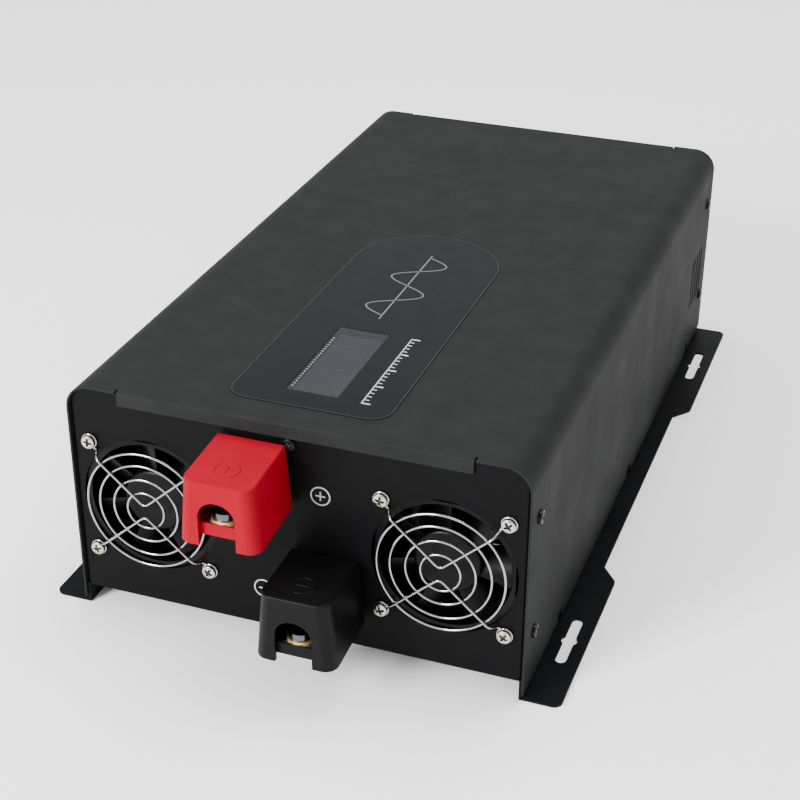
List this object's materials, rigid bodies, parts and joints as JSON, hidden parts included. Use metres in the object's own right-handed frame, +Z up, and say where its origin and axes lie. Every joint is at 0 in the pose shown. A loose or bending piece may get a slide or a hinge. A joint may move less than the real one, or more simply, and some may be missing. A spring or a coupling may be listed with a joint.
{
  "type": "power inverter",
  "caption": "Sheet-metal DC to AC power inverter with flanged base, front cooling fans, booted battery terminals, top display and rear AC fittings.",
  "frame": {"origin": "centre of the whole object's box, on the surface that the feet stand on", "axes": "+Z up, -Y towards the fans and battery terminals, +Y towards the AC fittings, +X to the right seen from the front"},
  "size_m": [0.314, 0.5674, 0.149],
  "materials": {
    "cover_paint": "fine-texture black powder coat",
    "panel_paint": "smooth semi-matt black powder coat",
    "chassis_paint": "semi-matt black powder coat",
    "black_screw": "black zinc",
    "nickel_screw": "nickel plate",
    "zinc_nut": "zinc plate",
    "chrome_wire": "bright chrome plate",
    "fan_plastic": "moulded black",
    "stator_steel": "laminated steel",
    "red_plastic": "semi-matt moulded red",
    "black_plastic": "semi-matt moulded black",
    "busbar_metal": "tin-plated copper",
    "bolt_zinc": "bright zinc plate",
    "washer_yellow": "yellow zinc plate",
    "ink": "white screen print",
    "label_film": "satin polyester overlay",
    "clear_lens": "clear hard-coated film",
    "lcd_glass": "unlit display",
    "circuit_board": "solder mask",
    "heatsink_metal": "extruded",
    "component_black": "moulded epoxy",
    "capacitor_sleeve": "shrink sleeve",
    "relay_case": "moulded",
    "strip_green": "moulded",
    "winding_copper": "enamelled copper wire",
    "core_steel": "wound electrical steel",
    "pad_rubber": "rubber sheet",
    "gland_nylon": "moulded nylon",
    "rocker_plastic": "polished black",
    "button_plastic": "white acetal"
  },
  "bodies": {
    "case": {"top_cover": "cover_paint", "base_chassis": "chassis_paint", "front_panel": "panel_paint", "rear_panel": "panel_paint", "cover_screws": "black_screw", "panel_screws": "black_screw", "panel_rivets": "zinc_nut", "screw_nuts": "zinc_nut", "left_fan_frame": "fan_plastic", "right_fan_frame": "fan_plastic", "left_fan_guard": "chrome_wire", "right_fan_guard": "chrome_wire", "fan_guard_screws": "nickel_screw", "fan_stators": "stator_steel", "positive_terminal_block": "red_plastic", "negative_terminal_block": "black_plastic", "positive_busbar": "busbar_metal", "negative_busbar": "busbar_metal", "terminal_bolts": "bolt_zinc", "terminal_spring_washers": "bolt_zinc", "terminal_flat_washers": "washer_yellow", "terminal_inserts": "washer_yellow", "polarity_marks": "ink", "display_label": "label_film", "display_lens": "clear_lens", "lcd_screen": "lcd_glass", "lcd_bezel": "black_plastic", "display_board": "circuit_board", "display_studs": "zinc_nut", "power_board": "circuit_board", "output_board": "circuit_board", "board_standoffs": "zinc_nut", "board_screws": "zinc_nut", "left_heatsink": "heatsink_metal", "right_heatsink": "heatsink_metal", "power_transistors": "component_black", "bulk_capacitors": "capacitor_sleeve", "transfer_relays": "relay_case", "ac_terminal_strip": "strip_green", "transformer_winding": "winding_copper", "transformer_core": "core_steel", "transformer_pads": "pad_rubber", "transformer_plate": "zinc_nut", "transformer_stud": "zinc_nut", "transformer_nut": "zinc_nut", "cable_glands": "gland_nylon", "gland_locknuts": "gland_nylon", "power_switch_frame": "black_plastic", "breaker_bodies": "black_plastic", "breaker_nuts": "zinc_nut", "remote_port": "black_plastic", "earth_stud": "zinc_nut", "earth_nuts": "zinc_nut"},
    "left_rotor": {"left_fan_rotor": "fan_plastic"},
    "right_rotor": {"right_fan_rotor": "fan_plastic"},
    "positive_boot": {"positive_terminal_boot": "red_plastic"},
    "negative_boot": {"negative_terminal_boot": "black_plastic"},
    "switch_rocker": {"power_switch_rocker": "rocker_plastic"},
    "input_button": {"input_breaker_button": "button_plastic"},
    "output_button": {"output_breaker_button": "button_plastic"}
  },
  "joints": [
    {"name": "left_fan_spin", "type": "hinge", "parent": "case", "child": "left_rotor", "pos_m": [-0.088, -0.22125, 0.0774], "axis": [0, -1, 0], "continuous": true},
    {"name": "right_fan_spin", "type": "hinge", "parent": "case", "child": "right_rotor", "pos_m": [0.088, -0.22125, 0.0774], "axis": [0, -1, 0], "continuous": true},
    {"name": "positive_boot_pull", "type": "slide", "parent": "case", "child": "positive_boot", "axis": [0, -1, 0], "range_m": [0, 0.06]},
    {"name": "negative_boot_pull", "type": "slide", "parent": "case", "child": "negative_boot", "axis": [0, -1, 0], "range_m": [0, 0.06]},
    {"name": "power_switch_rock", "type": "hinge", "parent": "case", "child": "switch_rocker", "pos_m": [0.1, 0.25175, 0.112], "axis": [1, 0, 0], "range_deg": [0, 14]},
    {"name": "input_breaker_pop", "type": "slide", "parent": "case", "child": "input_button", "axis": [0, 1, 0], "range_m": [0, 0.004]},
    {"name": "output_breaker_pop", "type": "slide", "parent": "case", "child": "output_button", "axis": [0, 1, 0], "range_m": [0, 0.004]}
  ]
}
